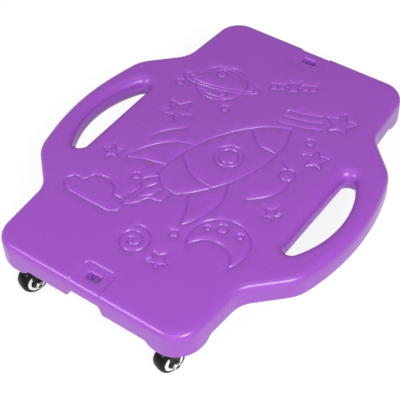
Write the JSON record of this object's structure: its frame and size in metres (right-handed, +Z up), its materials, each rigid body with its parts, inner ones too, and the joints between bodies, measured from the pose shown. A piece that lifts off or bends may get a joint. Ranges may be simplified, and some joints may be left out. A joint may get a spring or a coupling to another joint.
{
  "type": "sitting scooter board",
  "caption": "Low moulded plastic board to sit or kneel on, with side wings, hand slots, linking tabs at its ends and swivel casters under its corners.",
  "frame": {"origin": "on the floor under the middle of the board, at the level of the wheels' treads", "axes": "+Z up, Y along the board's length with the front end at -Y, X across the wings with +X to the right seen from the front"},
  "size_m": [0.474, 0.56, 0.108],
  "materials": {
    "purple_plastic": "semi-gloss moulded polyethylene",
    "black_steel": "black coated pressed steel",
    "bright_steel": "zinc plated",
    "black_tyre": "glossy black tread",
    "white_plastic": "white moulded wheel core",
    "black_plastic": "satin black"
  },
  "bodies": {
    "deck": {"deck": "purple_plastic", "front_left_mounting_plate": "black_steel", "front_left_kingpin": "bright_steel", "front_left_screw_1": "bright_steel", "front_left_screw_2": "bright_steel", "front_left_screw_3": "bright_steel", "front_left_screw_4": "bright_steel", "front_right_mounting_plate": "black_steel", "front_right_kingpin": "bright_steel", "front_right_screw_1": "bright_steel", "front_right_screw_2": "bright_steel", "front_right_screw_3": "bright_steel", "front_right_screw_4": "bright_steel", "rear_left_mounting_plate": "black_steel", "rear_left_kingpin": "bright_steel", "rear_left_screw_1": "bright_steel", "rear_left_screw_2": "bright_steel", "rear_left_screw_3": "bright_steel", "rear_left_screw_4": "bright_steel", "rear_right_mounting_plate": "black_steel", "rear_right_kingpin": "bright_steel", "rear_right_screw_1": "bright_steel", "rear_right_screw_2": "bright_steel", "rear_right_screw_3": "bright_steel", "rear_right_screw_4": "bright_steel"},
    "front_left_fork": {"front_left_ball_race": "bright_steel", "front_left_fork": "black_steel", "front_left_axle_bolt": "black_steel", "front_left_axle_nut": "bright_steel"},
    "front_left_wheel": {"front_left_tyre": "black_tyre", "front_left_wheel_core": "white_plastic", "front_left_inner_thread_guard": "black_plastic", "front_left_outer_thread_guard": "black_plastic"},
    "front_right_fork": {"front_right_ball_race": "bright_steel", "front_right_fork": "black_steel", "front_right_axle_bolt": "black_steel", "front_right_axle_nut": "bright_steel"},
    "front_right_wheel": {"front_right_tyre": "black_tyre", "front_right_wheel_core": "white_plastic", "front_right_inner_thread_guard": "black_plastic", "front_right_outer_thread_guard": "black_plastic"},
    "rear_left_fork": {"rear_left_ball_race": "bright_steel", "rear_left_fork": "black_steel", "rear_left_axle_bolt": "black_steel", "rear_left_axle_nut": "bright_steel"},
    "rear_left_wheel": {"rear_left_tyre": "black_tyre", "rear_left_wheel_core": "white_plastic", "rear_left_inner_thread_guard": "black_plastic", "rear_left_outer_thread_guard": "black_plastic"},
    "rear_right_fork": {"rear_right_ball_race": "bright_steel", "rear_right_fork": "black_steel", "rear_right_axle_bolt": "black_steel", "rear_right_axle_nut": "bright_steel"},
    "rear_right_wheel": {"rear_right_tyre": "black_tyre", "rear_right_wheel_core": "white_plastic", "rear_right_inner_thread_guard": "black_plastic", "rear_right_outer_thread_guard": "black_plastic"}
  },
  "joints": [
    {"name": "front_left_swivel", "type": "hinge", "parent": "deck", "child": "front_left_fork", "pos_m": [-0.116, -0.239, 0.05], "axis": [0, 0, 1], "continuous": true},
    {"name": "front_left_roll", "type": "hinge", "parent": "front_left_fork", "child": "front_left_wheel", "pos_m": [-0.12033, -0.25315, 0.02072], "axis": [0.9563, -0.2924, 0], "continuous": true},
    {"name": "front_right_swivel", "type": "hinge", "parent": "deck", "child": "front_right_fork", "pos_m": [0.116, -0.239, 0.05], "axis": [0, 0, 1], "continuous": true},
    {"name": "front_right_roll", "type": "hinge", "parent": "front_right_fork", "child": "front_right_wheel", "pos_m": [0.11167, -0.25315, 0.02072], "axis": [0.9563, -0.2924, 0], "continuous": true},
    {"name": "rear_left_swivel", "type": "hinge", "parent": "deck", "child": "rear_left_fork", "pos_m": [-0.116, 0.239, 0.05], "axis": [0, 0, 1], "continuous": true},
    {"name": "rear_left_roll", "type": "hinge", "parent": "rear_left_fork", "child": "rear_left_wheel", "pos_m": [-0.12033, 0.22485, 0.02072], "axis": [0.9563, -0.2924, 0], "continuous": true},
    {"name": "rear_right_swivel", "type": "hinge", "parent": "deck", "child": "rear_right_fork", "pos_m": [0.116, 0.239, 0.05], "axis": [0, 0, 1], "continuous": true},
    {"name": "rear_right_roll", "type": "hinge", "parent": "rear_right_fork", "child": "rear_right_wheel", "pos_m": [0.11167, 0.22485, 0.02072], "axis": [0.9563, -0.2924, 0], "continuous": true}
  ]
}
